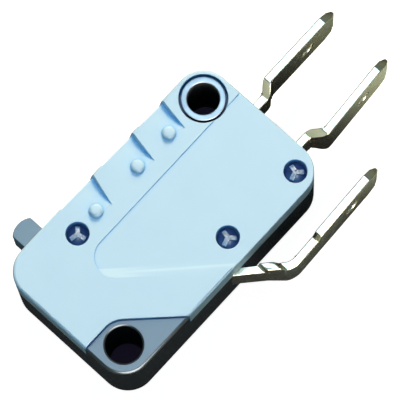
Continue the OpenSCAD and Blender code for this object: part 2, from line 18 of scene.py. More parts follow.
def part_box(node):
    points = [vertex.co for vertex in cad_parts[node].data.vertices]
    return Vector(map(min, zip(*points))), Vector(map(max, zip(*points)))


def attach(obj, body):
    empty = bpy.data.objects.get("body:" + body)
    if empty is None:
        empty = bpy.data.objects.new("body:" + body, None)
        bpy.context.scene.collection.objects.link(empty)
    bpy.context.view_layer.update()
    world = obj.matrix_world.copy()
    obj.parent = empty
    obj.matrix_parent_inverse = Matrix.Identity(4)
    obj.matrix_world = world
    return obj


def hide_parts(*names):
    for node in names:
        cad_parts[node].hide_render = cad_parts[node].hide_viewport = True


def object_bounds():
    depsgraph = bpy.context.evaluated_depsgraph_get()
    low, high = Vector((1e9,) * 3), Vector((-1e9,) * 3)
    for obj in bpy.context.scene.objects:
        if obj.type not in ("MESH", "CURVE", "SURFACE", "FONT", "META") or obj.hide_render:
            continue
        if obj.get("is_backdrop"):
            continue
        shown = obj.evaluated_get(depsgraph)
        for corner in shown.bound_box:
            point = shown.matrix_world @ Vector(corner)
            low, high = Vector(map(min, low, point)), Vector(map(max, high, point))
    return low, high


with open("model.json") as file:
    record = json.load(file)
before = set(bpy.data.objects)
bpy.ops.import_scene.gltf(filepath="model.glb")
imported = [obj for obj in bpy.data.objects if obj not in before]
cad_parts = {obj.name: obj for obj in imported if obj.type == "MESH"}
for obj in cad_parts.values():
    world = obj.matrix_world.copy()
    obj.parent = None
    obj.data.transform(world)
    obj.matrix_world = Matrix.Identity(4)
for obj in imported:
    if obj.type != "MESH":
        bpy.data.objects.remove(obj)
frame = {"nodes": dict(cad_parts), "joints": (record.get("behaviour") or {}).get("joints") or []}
cad_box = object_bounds()
nodes = frame["nodes"]
MM = 0.001


def in_mm(lengths):
    """Lengths in metres as rounded millimetres, for printing."""
    return [round(length / MM, 2) for length in lengths]


print("nodes", len(nodes), "box in mm", in_mm(high - low for low, high in zip(*cad_box)))

# %% [markdown]
# The eye
# The switch lies on its back and is seen from almost straight above, from far
# away, so its sides hardly converge. A camera could be placed by hand, but a
# compass direction, a height and a roll say the same thing in three readable
# numbers. The roll stands the switch on its corner in the picture.

# %% Camera
EYE_AZIMUTH = math.radians(-40.994)
EYE_ELEVATION = math.radians(78.2854)
EYE_ROLL = math.radians(-6.647)
EYE_AIM = Vector((14.809, 3.944, 10.3)) * MM
EYE_DISTANCE = 358.64 * MM
EYE_FIELD = math.radians(5.9657)
EYE_NEAR = 1 * MM
EYE_FAR = 20


def put_in_scene(name, data):
    """An object made from its data and linked into the scene."""
    made = bpy.data.objects.new(name, data)
    bpy.context.collection.objects.link(made)
    return made


level_right = Vector((math.cos(EYE_AZIMUTH), math.sin(EYE_AZIMUTH), 0))
look = Vector((-math.sin(EYE_AZIMUTH), math.cos(EYE_AZIMUTH), 0)) * math.cos(EYE_ELEVATION)
look.z = -math.sin(EYE_ELEVATION)
level_up = level_right.cross(look)
picture_right = level_right * math.cos(EYE_ROLL) + level_up * math.sin(EYE_ROLL)
picture_up = picture_right.cross(look)
eye_place = EYE_AIM - look * EYE_DISTANCE
eye_axes = Matrix((picture_right, picture_up, -look)).transposed()

camera = put_in_scene("eye", bpy.data.cameras.new("eye"))
camera.data.angle = EYE_FIELD
camera.data.clip_start = EYE_NEAR
camera.data.clip_end = EYE_FAR
camera.matrix_world = Matrix.Translation(eye_place) @ eye_axes.to_4x4()
bpy.context.scene.camera = camera
print("eye at", in_mm(eye_place), "mm")

# %% [markdown]
# The light
# Every face that looks up is bright and every wall is dark, even the walls of
# the pale cover, and the flat black plastic shines grey-blue. That is one large
# soft light overhead, standing where those flat faces mirror it into the eye. A
# warm key light from the top of the picture models the dots and notches, and is
# kept out of reflections so that it leaves no second glint. A broad light from
# the foot of the picture does the opposite: only reflections see it, and it draws
# bright lines along rims and rounds. All three are area lights, because their
# size is what makes reflections soft.

# %% Three soft lights
LAMP_DISTANCE = 0.5


def soft_light(name, way, size, radiance, colour):
    """A round lamp that faces the switch from the given direction, by the radiance of its face."""
    lamp = bpy.data.lights.new(name, "AREA")
    lamp.shape = "DISK"
    lamp.size = size
    lamp.energy = radiance * math.pi * math.pi * (size / 2) ** 2
    lamp.color = colour
    holder = put_in_scene(name, lamp)
    place = EYE_AIM + way.normalized() * LAMP_DISTANCE
    turn = way.to_track_quat("Z", "Y").to_matrix()
    holder.matrix_world = Matrix.Translation(place) @ turn.to_4x4()
    print(name, "power", round(lamp.energy, 3), "W")
    return holder


mirror_way = Vector((look.x, look.y, -look.z))
key_way = mirror_way + picture_up * 1.8 + picture_right * 0.35
front_way = mirror_way - picture_up * 1.25 + picture_right * 0.4
soft_light("overhead", mirror_way, size=0.30, radiance=4.0, colour=(0.57, 0.835, 1.065))
key = soft_light("key", key_way, size=0.22, radiance=22.5, colour=(1.24, 1.013, 0.70))
key.visible_glossy = False
front = soft_light("front", front_way, size=0.55, radiance=7.5, colour=(0.95, 1.0, 1.02))
front.visible_diffuse = False

# %% [markdown]
# Finishes as sums
# A finish is a graph of nodes, and long graphs are hard to read. Here a wrapped
# socket behaves like a number: adding or multiplying two of them adds the Math
# node that does it. Every other node comes from one method, which the light of
# the room uses as well as the finishes do.

# %% A value
class Value:
    """A number on its way through a graph. Sums and products of Values add Math nodes."""

    def __init__(self, graph, socket):
        self.graph = graph
        self.socket = socket

    def math(self, operation, left, right):
        """One Math node on two numbers, at least one of them a Value."""
        return self.graph.node("Math", {"operation": operation}, {0: left, 1: right})

    def __add__(self, other):
        return self.math("ADD", self, other)

    def __radd__(self, other):
        return self.math("ADD", other, self)

    def __sub__(self, other):
        return self.math("SUBTRACT", self, other)

    def __rsub__(self, other):
        return self.math("SUBTRACT", other, self)

    def __mul__(self, other):
        return self.math("MULTIPLY", self, other)

    def __rmul__(self, other):
        return self.math("MULTIPLY", other, self)


def tools_of(kind):
    """The names of the methods that a class adds, for printing."""
    return ", ".join(name for name in vars(kind) if not name.startswith("__"))


print("a Value has", tools_of(Value), "and the signs + - *")

# %% A graph
class Graph:
    """A tree of shader nodes, with short ways to the nodes that are used most."""

    def __init__(self, tree):
        self.tree = tree

    def node(self, kind, settings, sockets, output=0):
        """Adds one node: its settings first, then the values or links of its sockets."""
        made = self.tree.nodes.new("ShaderNode" + kind)
        for name, value in settings.items():
            if name == "stops":
                self.set_stops(made.color_ramp.elements, value)
            else:
                setattr(made, name, value)
        for name, value in sockets.items():
            self.put(made.inputs[name], value)
        return Value(self, made.outputs[output])

    def set_stops(self, elements, stops):
        """Gives a new ramp its stops, each a place and a colour, from low to high."""
        elements.remove(elements[1])
        elements[0].position, elements[0].color = stops[0]
        for place, colour in stops[1:]:
            elements.new(place).color = colour

    def put(self, socket, value):
        """Links a Value to a socket, or sets the socket to a plain number or colour."""
        if isinstance(value, Value):
            self.tree.links.new(value.socket, socket)
        else:
            socket.default_value = value

    def vector(self, operation, first, second=(0, 0, 0), output="Vector"):
        """One sum on vectors."""
        return self.node("VectorMath", {"operation": operation}, {0: first, 1: second}, output)

    def part(self, vector, axis):
        """One coordinate of a vector: X, Y or Z."""
        return self.node("SeparateXYZ", {}, {0: vector}, axis)

    def span(self, value, low, high):
        """0 up to low, 1 from high, and a smooth rise between."""
        limits = {"Value": value, "From Min": low, "From Max": high}
        return self.node("MapRange", {"interpolation_type": "SMOOTHSTEP"}, limits)

    def blend(self, share, first, second):
        """The first colour where share is 0, the second where it is 1."""
        return self.node("Mix", {"data_type": "RGBA"}, {0: share, 6: first, 7: second}, 2)


print("a Graph has", tools_of(Graph))

# %% A finish
class Finish(Graph):
    """One material: a Principled shader, and the nodes that vary it over the surface."""

    def __init__(self, name, **constants):
        self.material = bpy.data.materials.new(name)
        self.material.use_nodes = True
        super().__init__(self.material.node_tree)
        self.shader = self.tree.nodes["Principled BSDF"]
        for socket, value in constants.items():
            self.shader.inputs[socket.replace("_", " ")].default_value = value
        self.place = self.node("TexCoord", {}, {}, "Object")

    def noise(self, size, detail=2.0, stretch=(1, 1, 1)):
        """Soft noise from 0 to 1 in patches about size metres across, longer where stretch is over 1."""
        squeeze = [1 / (size * factor) for factor in stretch]
        spot = self.vector("MULTIPLY", self.place, squeeze)
        return self.node("TexNoise", {}, {"Vector": spot, "Scale": 1.0, "Detail": detail})

    def facing(self):
        """The direction that the surface faces."""
        return self.node("NewGeometry", {}, {}, "Normal")

    def open_sky(self, reach):
        """1 in the open, less in corners: how much of the sky within reach a point sees."""
        return self.node("AmbientOcclusion", {"samples": 8}, {"Distance": reach}, "AO")

    def edge_mask(self, radius):
        """About 0 on a flat face, rising on edges that a finger would feel."""
        eased = self.node("Bevel", {"samples": 6}, {"Radius": radius})
        match = self.vector("DOT_PRODUCT", eased, self.facing(), "Value")
        return self.span(1 - match, 0.01, 0.12)

    def glow(self, colour):
        """Joins the colour of the light that the surface gives off by itself."""
        self.put(self.shader.inputs["Emission Color"], colour)

    def surface(self, colour, roughness, height, depth):
        """Joins colour, roughness and a bump of the given depth in metres to the shader."""
        self.put(self.shader.inputs["Base Color"], colour)
        self.put(self.shader.inputs["Roughness"], roughness)
        relief = self.node("Bump", {}, {"Height": height, "Distance": depth, "Strength": 1.0})
        self.put(self.shader.inputs["Normal"], relief)
        return self.material


print("a Finish adds", tools_of(Finish))

# %% [markdown]
# The room
# What is left of the light comes from the room: dim above, nearly black below,
# so that polished metal standing on edge goes dark towards its foot. Walls and
# a ceiling could be built, but only their brightness matters, so one ramp over
# the height of a ray stands for them. The plain view transform then shows the
# colours as they were chosen.

# %% Dim room
ROOM_STOPS = (
    (0.42, (0.020, 0.020, 0.012, 1)),
    (0.56, (0.19, 0.22, 0.17, 1)),
    (0.95, (0.06, 0.18, 0.29, 1)),
)

room = bpy.data.worlds.new("room")
room.use_nodes = True
sky = Graph(room.node_tree)
ray_way = sky.node("TexCoord", {}, {}, "Generated")
ray_height = sky.node("MapRange", {}, {"Value": sky.part(ray_way, "Z"), "From Min": -1})
sky_colour = sky.node("ValToRGB", {"stops": ROOM_STOPS}, {"Fac": ray_height}, "Color")
sky.put(room.node_tree.nodes["Background"].inputs["Color"], sky_colour)
bpy.context.scene.world = room
bpy.context.scene.view_settings.view_transform = "Standard"
print("stops in the room's ramp", len(ROOM_STOPS))

# %% [markdown]
# The floor
# The switch lies on a pale sweep, a floor that curves up into a wall, as in a
# product photographer's tent. A bent grid would do, but from any side the same
# curve should stand behind the switch, so one profile is spun round the upright
# axis. It casts no shadow and stays out of reflections.

# %% Floor sweep
FLOOR_RADIUS = 2.2
FLOOR_BEND = 0.6
WALL_TOP = 2.0
FLOOR_DROP = 0.05 * MM
BEND_STEPS = 12
SPIN_STEPS = 64
SEAM_REACH = 0.01 * MM


def floor_profile():
    """The floor from its middle out, the quarter bend and the wall, as points in the XZ plane."""
    points = [Vector((0, 0, -FLOOR_DROP)), Vector((FLOOR_RADIUS - FLOOR_BEND, 0, -FLOOR_DROP))]
    for step in range(1, BEND_STEPS + 1):
        turn = math.pi / 2 * step / BEND_STEPS
        reach = FLOOR_RADIUS - FLOOR_BEND + FLOOR_BEND * math.sin(turn)
        points.append(Vector((reach, 0, FLOOR_BEND * (1 - math.cos(turn)) - FLOOR_DROP)))
    points.append(Vector((FLOOR_RADIUS, 0, WALL_TOP)))
    return points


def finished_mesh(name, mesh):
    """Mesh data made from a bmesh, which is freed."""
    data = bpy.data.meshes.new(name)
    mesh.to_mesh(data)
    mesh.free()
    return data


floor_mesh = bmesh.new()
floor_line = [floor_mesh.verts.new(point) for point in floor_profile()]
floor_edges = [floor_mesh.edges.new(pair) for pair in zip(floor_line, floor_line[1:])]
bmesh.ops.spin(
    floor_mesh,
    geom=floor_line + floor_edges,
    axis=(0, 0, 1),
    cent=(0, 0, 0),
    steps=SPIN_STEPS,
    angle=2 * math.pi,
)
bmesh.ops.remove_doubles(floor_mesh, verts=floor_mesh.verts, dist=SEAM_REACH)
floor = put_in_scene("floor_sweep", finished_mesh("floor_sweep", floor_mesh))
floor.visible_diffuse = False
floor.visible_glossy = False
floor.visible_shadow = False
floor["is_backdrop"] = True
print("floor faces", len(floor.data.polygons))

# %% [markdown]
# The table
# The white round the switch is the paper of the tent, but the bright metal shows
# that something dark lay close under it. A darker floor would spoil the white of
# the picture. So a round table lies just above the paper, hidden from the eye and
# met only by reflections and by light that bounces, and it gives the blades their
# dark faces that lighten towards the top.

# %% Dark table
TABLE_RADIUS = 120 * MM
TABLE_DROP = 0.02 * MM
TABLE_SIDES = 48

table_mesh = bmesh.new()
bmesh.ops.create_circle(table_mesh, cap_ends=True, segments=TABLE_SIDES, radius=TABLE_RADIUS)
bmesh.ops.translate(table_mesh, verts=table_mesh.verts, vec=(EYE_AIM.x, EYE_AIM.y, -TABLE_DROP))
table = put_in_scene("dark_table", finished_mesh("dark_table", table_mesh))
table.visible_camera = False
table.visible_shadow = False
table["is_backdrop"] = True
print("table radius", round(TABLE_RADIUS / MM), "mm")

# %% [markdown]
# In the shade of the case
# Both finishes paint the shadow of the case: painted shadow darkens the floor
# under the switch and the table close round it, so both finishes need to know how
# far a point lies from the case. A mask could be painted by hand, but the case is
# nearly a box, and a few vector sums give the distance from a box.

# %% Distance from the case
CASE_LOW, CASE_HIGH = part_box("base")


def from_case(finish, inset):
    """How far a point of the floor lies from the case's footprint, drawn in by the inset."""
    middle = (CASE_LOW + CASE_HIGH) / 2
    half = (CASE_HIGH - CASE_LOW) / 2 - Vector((inset, inset, 0))
    offset = finish.vector("SUBTRACT", finish.place, middle)
    beyond = finish.vector("SUBTRACT", finish.vector("ABSOLUTE", offset), half)
    gap = finish.vector("MAXIMUM", beyond, (0, 0, 0))
    return finish.vector("LENGTH", gap, output="Value")


print("footprint of the case in mm", in_mm((CASE_HIGH - CASE_LOW).xy))

# %% [markdown]
# Floor finish
# The floor is pale paper: white that glows enough to lose its shadows, with a
# faint tooth. Stronger lamps would whiten it too, but they would bleach the cover
# first. Under the switch, seen down the mounting holes, a painted shadow puts the
# glow out and leaves only a faint glimmer.

# %% Pale paper
UNDER_CASE = 1.0 * MM
PAPER_SHADOW_EDGE = (0.06 * MM, 0.12 * MM)
PAPER_SHADOW = (0.004, 0.004, 0.005, 1)
PAPER_PALE = (0.62, 0.62, 0.62, 1)
GLOW_SHADOW = (0.0056, 0.0046, 0.0105, 1)
GLOW_WHITE = (1, 1, 1, 1)

paper = Finish("pale_paper", Emission_Strength=0.97)
paper_tooth = paper.noise(0.8 * MM)
# painted shadow: inside the case's footprint the paper's colour and glow go dark
paper_unshadowed = paper.span(from_case(paper, UNDER_CASE), *PAPER_SHADOW_EDGE)
paper_colour = paper.blend(paper_unshadowed, PAPER_SHADOW, PAPER_PALE)
paper.glow(paper.blend(paper_unshadowed, GLOW_SHADOW, GLOW_WHITE))
paper_rough = 0.9 + 0.05 * paper_tooth
floor.data.materials.append(paper.surface(paper_colour, paper_rough, paper_tooth, 0.01 * MM))
print("paper on", floor.name)

# %% [markdown]
# Table finish
# The table is an olive cloth, known only from what the blades mirror. Its light
# and shade are painted into its colour: painted shade by the case, a painted pool
# of light a little way out, brightest on the side of the bent blade, painted shade
# towards the plunger's side, and dark again far off. Cards round the switch could
# do the same, but one cloth with painted light is one object and needs no aiming.

# %% Olive cloth
CLOTH_SHADED = (0.012, 0.012, 0.010, 1)
CLOTH_OPEN = ((0.365, 0.425, 0.325, 1), (0.40, 0.46, 0.36, 1))
SHADE_EDGE = (3.5 * MM, 15 * MM)
FAR_EDGE = (22 * MM, 36 * MM)
BENT_BLADE_SIDE = (-6 * MM, -1 * MM)
PLUNGER_SIDE = (-1 * MM, 7 * MM)

cloth = Finish("olive_cloth")
cloth_weave = cloth.noise(1.5 * MM)
cloth_gap = from_case(cloth, 0)
cloth_across = cloth.part(cloth.place, "Y")
# painted shade by the case and far off, with a painted pool of light between
cloth_lit = cloth.span(cloth_gap, *SHADE_EDGE) * (1 - cloth.span(cloth_gap, *FAR_EDGE))
# painted light, strongest on the bent blade's side
cloth_lit_bent_side = 1.9 - 0.9 * cloth.span(cloth_across, *BENT_BLADE_SIDE)
# painted shade towards the plunger's side
cloth_shade_plunger_side = 1 - 0.65 * cloth.span(cloth_across, *PLUNGER_SIDE)
cloth_light = cloth_lit * cloth_lit_bent_side * cloth_shade_plunger_side
cloth_colour = cloth.blend(cloth_light, CLOTH_SHADED, cloth.blend(cloth_weave, *CLOTH_OPEN))
cloth_rough = 0.9 + 0.05 * cloth_weave
table.data.materials.append(cloth.surface(cloth_colour, cloth_rough, cloth_weave, 0.05 * MM))
print("cloth on", table.name)

# %% [markdown]
# Cover finish
# The cover is moulded in pale blue thermoplastic with a fine spark-eroded grain.
# Light goes a little way into it, so its shade turns a deeper blue and not grey.
# Real scattering would be slow and noisy at this size. Instead painted shade, a
# deeper blue, darker still down holes, and a trace of painted blue glow in that
# shade are mixed in by how closed in a point is. Broad faint clouds stand for the
# flow of the plastic in the mould. The long slope of the panel has a painted
# highlight, a little paler, and its rounded edges are paler, partly from wear and
# partly as painted highlight.

# %% Pale blue cover
COVER_BLUE = ((0.500, 0.670, 0.800, 1), (0.540, 0.710, 0.830, 1))
COVER_SLOPE_HIGHLIGHT = (0.62, 0.78, 0.85, 1)
COVER_SHADED = (0.13, 0.40, 0.68, 1)
COVER_HOLE_SHADE = (0.05, 0.10, 0.22, 1)
COVER_WORN_AND_HIGHLIT = (0.60, 0.78, 0.88, 1)
COVER_PAINTED_GLOW = (0.0, 0.02, 0.06, 1)
NO_GLOW = (0, 0, 0, 1)
SLOPE_REACH = (8.0 * MM, 8.5 * MM)


def panel_slope(finish):
    """1 where the cover leans a little, as on the long slope of its panel, and 0 elsewhere."""
    level = finish.part(finish.facing(), "Z")
    leaning = finish.span(level, 0.985, 0.990) * (1 - finish.span(level, 0.9965, 0.9985))
    across = finish.part(finish.place, "Y")
    return leaning * (1 - finish.span(across, *SLOPE_REACH))


cover = Finish("cover_blue", Specular_IOR_Level=0.5, Emission_Strength=1.0)
cover_grain = cover.noise(0.09 * MM)
cover_sky = cover.open_sky(1.2 * MM)
# painted shade: a deeper blue in corners and creases, by how closed in a point is
cover_shade = 1 - cover.span(cover_sky, 0.60, 0.97)
# painted shade, darker still down holes
cover_hole_shade = 1 - cover.span(cover_sky, 0.15, 0.45)
cover_wear_and_highlight = cover.edge_mask(0.12 * MM)
cover_body = cover.blend(cover.noise(3.5 * MM, 3), *COVER_BLUE)
# painted highlight: the panel's long slope, which faces the light, is painted paler
cover_slope_highlit = cover.blend(0.7 * panel_slope(cover), cover_body, COVER_SLOPE_HIGHLIGHT)
cover_tint = cover.blend(cover_shade, cover_slope_highlit, COVER_SHADED)
cover_dark = cover.blend(cover_hole_shade, cover_tint, COVER_HOLE_SHADE)
# rounded edges paler: partly wear, partly painted highlight
cover_colour = cover.blend(0.35 * cover_wear_and_highlight, cover_dark, COVER_WORN_AND_HIGHLIT)
cover_rough = 0.33 + 0.10 * cover_grain - 0.06 * cover_wear_and_highlight
# painted glow: a trace of blue light given off in the painted shade
cover.glow(cover.blend(cover_shade, NO_GLOW, COVER_PAINTED_GLOW))


def dress(material, *names):
    """Gives CAD nodes their finish."""
    for name in names:
        nodes[name].data.materials.clear()
        nodes[name].data.materials.append(material)
    print(material.name, "on", ", ".join(names))


dress(cover.surface(cover_colour, cover_rough, cover_grain, 0.004 * MM), "cover")

# %% [markdown]
# Ends of the posts
# Three posts of the base reach up into the cover's holes. Their three-armed ends
# were pressed over with a hot tool, and the tops of their arms mirror the light
# overhead, painted on here as a pale blue painted highlight. They could be pieces
# of their own with their own finish, but they are one moulding with the base, so a
# mask over the base's finish finds them by their height and their reach.

# %% Painted highlights on the ends of the posts
POST_PLACES = [Vector((x, y, 0)) * MM for x, y in ((4.75, 10.25), (13.964, -0.35), (22.85, -0.8))]
ARM_HEIGHT = (9.95 * MM, 10.05 * MM)
ARM_REACH = (0.86 * MM, 0.92 * MM)
ARM_FALL = 0.6


def arm_tops(finish):
    """1 on the arms of the posts, which fall away outwards, and 0 elsewhere."""
    height = finish.part(finish.place, "Z")
    flat = finish.vector("MULTIPLY", finish.place, (1, 1, 0))
    tops = 0
    for place in POST_PLACES:
        out = finish.vector("DISTANCE", flat, place, "Value")
        arm = finish.span(height + ARM_FALL * out, *ARM_HEIGHT)
        tops = tops + arm * (1 - finish.span(out, *ARM_REACH))
    return tops


print("posts", len(POST_PLACES))

# %% [markdown]
# Base finish
# The base is black thermosetting plastic, satin from the mould. Its flat faces
# show the light overhead, so its gloss matters more than its colour. Its walls are
# smoother, and mirror the dark round the case. Down in the cover's holes a navy
# tinge is painted in by depth, as painted blue light bounced from the cover round
# it, without any scattered light.

# %% Black base
BASE_BLACK = ((0.014, 0.016, 0.020, 1), (0.022, 0.025, 0.030, 1))
BASE_BOUNCED_BLUE = (0.030, 0.070, 0.220, 1)
BASE_WORN = (0.17, 0.19, 0.205, 1)
BASE_ARM_HIGHLIGHT = (0.52, 0.59, 0.72, 1)

base = Finish("base_black", IOR=1.65, Specular_IOR_Level=1.0)
base_cloud = base.noise(2.0 * MM, 3)
base_grain = base.noise(0.07 * MM)
base_open = base.span(base.open_sky(1.0 * MM), 0.3, 0.9)
# painted light: navy where the base sees little sky, for blue light bounced from the cover
base_with_bounce = base.blend(base_open, BASE_BOUNCED_BLUE, base.blend(base_cloud, *BASE_BLACK))
base_worn = base.blend(0.6 * base.edge_mask(0.12 * MM), base_with_bounce, BASE_WORN)
base_mottle = base.span(base.noise(0.35 * MM), 0.35, 0.6)
# painted highlight: the light overhead mirrored on the arms of the posts
base_arm_highlight = arm_tops(base) * (0.4 + 0.45 * base_mottle)
base_colour = base.blend(base_arm_highlight, base_worn, BASE_ARM_HIGHLIGHT)
base_flat = base.span(base.part(base.facing(), "Z"), 0.1, 0.4)
base_texture = 0.08 * base_cloud + 0.05 * base_grain
base_rough = 0.05 + 0.19 * base_flat + base_texture + 0.15 * (1 - base_open)
dress(base.surface(base_colour, base_rough, base_grain, 0.003 * MM), "base")

# %% [markdown]
# Plunger and rocker
# The plunger is slate-grey acetal, the rocker the same plastic left in its
# natural ivory. Both are smooth, a little waxy, and scuffed where they rub. They
# differ only in colour, so one function makes both.

# %% Slate plunger, ivory rocker
SLATE = ((0.160, 0.235, 0.310, 1), (0.190, 0.265, 0.340, 1))
SLATE_WORN = (0.20, 0.21, 0.20, 1)
IVORY = ((0.56, 0.53, 0.44, 1), (0.62, 0.59, 0.50, 1))
IVORY_WORN = (0.70, 0.68, 0.60, 1)


def acetal(name, tones, worn):
    """A waxy moulded plastic with rub marks along Y."""
    finish = Finish(name, Specular_IOR_Level=0.6)
    rub = finish.noise(0.12 * MM, stretch=(1, 12, 1))
    wear = finish.edge_mask(0.15 * MM)
    body = finish.blend(finish.noise(1.2 * MM, 3), *tones)
    colour = finish.blend(0.6 * wear, body, worn)
    return finish.surface(colour, 0.34 + 0.14 * rub, rub, 0.002 * MM)


dress(acetal("plunger_slate", SLATE, SLATE_WORN), "plunger")
dress(acetal("rocker_ivory", IVORY, IVORY_WORN), "rocker")

# %% [markdown]
# Metals
# Tin on brass, nickel, copper alloy, silver and steel differ in colour, in how
# smooth they are and in the way the tool marks run. One function makes them all:
# a tarnish cloud, fine drawn lines along one axis and bright worn edges. The
# nickel bush is satin on its rim, and down its bore painted shade makes it nearly
# black, where little light gets back out.

# %% A metal
LINE_WIDTH = 0.05 * MM
TARNISH_SIZE = 1.6 * MM
HOLLOW_REACH = 3 * MM
ALONG_X = (30, 1, 1)
ALONG_Z = (1, 1, 30)
EVEN = (1, 1, 1)


def metal(name, bright, dull, roughness, lines, line_depth, hollow=1.0):
    """A metal with dull clouds and drawn lines. Where it sees little sky it takes its dull tone, times a
    factor that paints shade there.
    """
    finish = Finish(name, Metallic=1.0)
    drawn = finish.noise(LINE_WIDTH, stretch=lines)
    cloud = finish.span(finish.noise(TARNISH_SIZE, 4), 0.35, 0.75)
    tarnish = cloud * (1 - finish.edge_mask(0.10 * MM))
    outside = finish.blend(tarnish, bright, dull)
    # in hollows the dull tone; for the bush the factor paints shade, nearly black down its bore
    inside = [hollow * channel for channel in dull[:3]] + [1]
    in_open = finish.span(finish.open_sky(HOLLOW_REACH), 0.5, 0.8)
    colour = finish.blend(in_open, inside, outside)
    rough = roughness + 0.05 * tarnish + 0.05 * drawn
    return finish.surface(colour, rough, drawn, line_depth)


print("drawn lines in mm", in_mm([LINE_WIDTH, LINE_WIDTH * max(ALONG_X)]))

# %% Metals on their pieces
tin = metal("tinned_brass", (0.82, 0.72, 0.54, 1), (0.68, 0.60, 0.43, 1), 0.20, ALONG_X, 0.0015 * MM)
satin = metal("satin_nickel", (0.52, 0.53, 0.54, 1), (0.42, 0.43, 0.44, 1), 0.40, ALONG_Z, 0.001 * MM, 0.04)
copper = metal("rolled_copper", (0.80, 0.56, 0.36, 1), (0.55, 0.33, 0.19, 1), 0.26, ALONG_X, 0.0015 * MM)
silver = metal("pressed_silver", (0.90, 0.90, 0.87, 1), (0.66, 0.65, 0.60, 1), 0.28, EVEN, 0.002 * MM)
steel = metal("ground_steel", (0.62, 0.64, 0.66, 1), (0.44, 0.45, 0.47, 1), 0.24, ALONG_Z, 0.001 * MM)
wire = metal("drawn_wire", (0.70, 0.72, 0.74, 1), (0.50, 0.51, 0.53, 1), 0.20, ALONG_X, 0.001 * MM)
dress(tin, "common_terminal", "nc_terminal", "no_terminal")
dress(satin, "mounting_bush")
dress(copper, "contact_arm")
dress(silver, "moving_contact", "nc_contact", "no_contact")
dress(steel, "rocker_pin")

# %% [markdown]
# Edges
# No real edge is sharp. Moulded edges have a small round, stamped edges a burr
# that tumbling took off. The solids arrive as triangles, so each piece is
# welded, its flats are joined into whole faces, and the edges are then rounded.
# Modifiers do this without touching the solids' own meshes.

# %% Eased edges
SHARP_TURN = math.radians(32)
FLAT_TURN = math.radians(0.3)
WELD_REACH = 0.0002 * MM
NORMAL_WEIGHT = 100


def ease_edges(name, round_width, segments=2):
    """Welds a CAD node's mesh, joins its flats, rounds its edges and evens its normals."""
    stack = nodes[name].modifiers
    stack.new("weld", "WELD").merge_threshold = WELD_REACH
    flats = stack.new("flats", "DECIMATE")
    flats.decimate_type = "DISSOLVE"
    flats.angle_limit = FLAT_TURN
    rounding = stack.new("round", "BEVEL")
    rounding.width = round_width
    rounding.segments = segments
    rounding.angle_limit = SHARP_TURN
    rounding.use_clamp_overlap = False
    stack.new("even", "WEIGHTED_NORMAL").weight = NORMAL_WEIGHT
    print(name, "edges rounded by", round(round_width / MM, 3), "mm")


ease_edges("plunger", 0.12 * MM, 3)
ease_edges("rocker", 0.05 * MM)
for name in ("common_terminal", "nc_terminal", "no_terminal"):
    ease_edges(name, 0.10 * MM)
ease_edges("contact_arm", 0.06 * MM)
for name in ("moving_contact", "nc_contact", "no_contact", "rocker_pin"):
    ease_edges(name, 0.03 * MM)

# %% [markdown]
# Dots of the cover
# Three dots stand on the cover. In the solid they are domes, parts of a sphere,
# while the moulded ones are fuller, with a flatter top. New dots could be set over
# the old, but then two skins would lie close together. So the points of each cap
# are found by their distance from the sphere's middle, and those between top and
# rim are lifted.

# %% Fuller dots
DOT_PLACES = ((17.55, 10.4), (13.24, 10.4), (7.5, 10.4))
DOT_RADIUS = 0.7 * MM
DOT_HEIGHT = 0.44 * MM
DOT_FILL = 0.7
DOT_SLACK = 0.003 * MM


def crown_dots(mesh):
    """Fills the caps of the dots out towards their rims, their feet left as they are."""
    dome = (DOT_RADIUS**2 + DOT_HEIGHT**2) / (2 * DOT_HEIGHT)
    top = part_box("cover")[1].z
    for x, y in DOT_PLACES:
        middle = Vector((x * MM, y * MM, top - dome))
        cap = {vert for vert in mesh.verts if abs((vert.co - middle).length - dome) < DOT_SLACK}
        free = [vert for vert in cap if all(cap.issuperset(face.verts) for face in vert.link_faces)]
        for vert in free:
            share = (vert.co - middle).xy.length / DOT_RADIUS
            vert.co.z += DOT_FILL * DOT_HEIGHT * max(0, share**2 - share**6)
        print("dot at", x, "moved", len(free), "of", len(cap), "points")


print("dots", len(DOT_PLACES))

# %% [markdown]
# Moulded shells
# In a mould the outward edges of a part are rounded by the cutter, but an inward
# corner, such as the foot of a dot, comes out crisp. A modifier rounds both kinds
# alike, so the two shells are copied and only their outward edges are rounded.

# %% Cover and base as moulded
MOULD_ROUND = 0.05 * MM


def stand_in(piece, node, body):
    """Puts a finer piece in a CAD node's place, on the node's body, and hides the node."""
    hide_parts(node)
    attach(piece, body)


def moulded(name, shape=None):
    """Puts a copy in a CAD node's place: outward edges rounded, inward ones crisp."""
    mesh = bmesh.new()
    mesh.from_mesh(nodes[name].data)
    bmesh.ops.remove_doubles(mesh, verts=mesh.verts, dist=WELD_REACH)
    bmesh.ops.dissolve_limit(mesh, angle_limit=FLAT_TURN, verts=mesh.verts, edges=mesh.edges)
    if shape:
        shape(mesh)
    mesh.normal_update()
    for face in mesh.faces:
        face.smooth = True
    sharp = [edge for edge in mesh.edges if edge.is_manifold and edge.calc_face_angle() > SHARP_TURN]
    outward = [edge for edge in sharp if edge.is_convex]
    for edge in sharp:
        edge.smooth = edge.is_convex
    print(name, "rounds", len(outward), "of", len(sharp), "edges")
    rounds = {"offset": MOULD_ROUND, "offset_type": "OFFSET", "segments": 2, "profile": 0.5}
    bmesh.ops.bevel(mesh, geom=outward, affect="EDGES", **rounds)
    shell = put_in_scene("moulded_" + name, finished_mesh("moulded_" + name, mesh))
    shell.data.materials.append(nodes[name].data.materials[0])
    even = shell.modifiers.new("even", "WEIGHTED_NORMAL")
    even.weight = NORMAL_WEIGHT
    even.keep_sharp = True
    stand_in(shell, name, "case")


moulded("cover", crown_dots)
moulded("base")

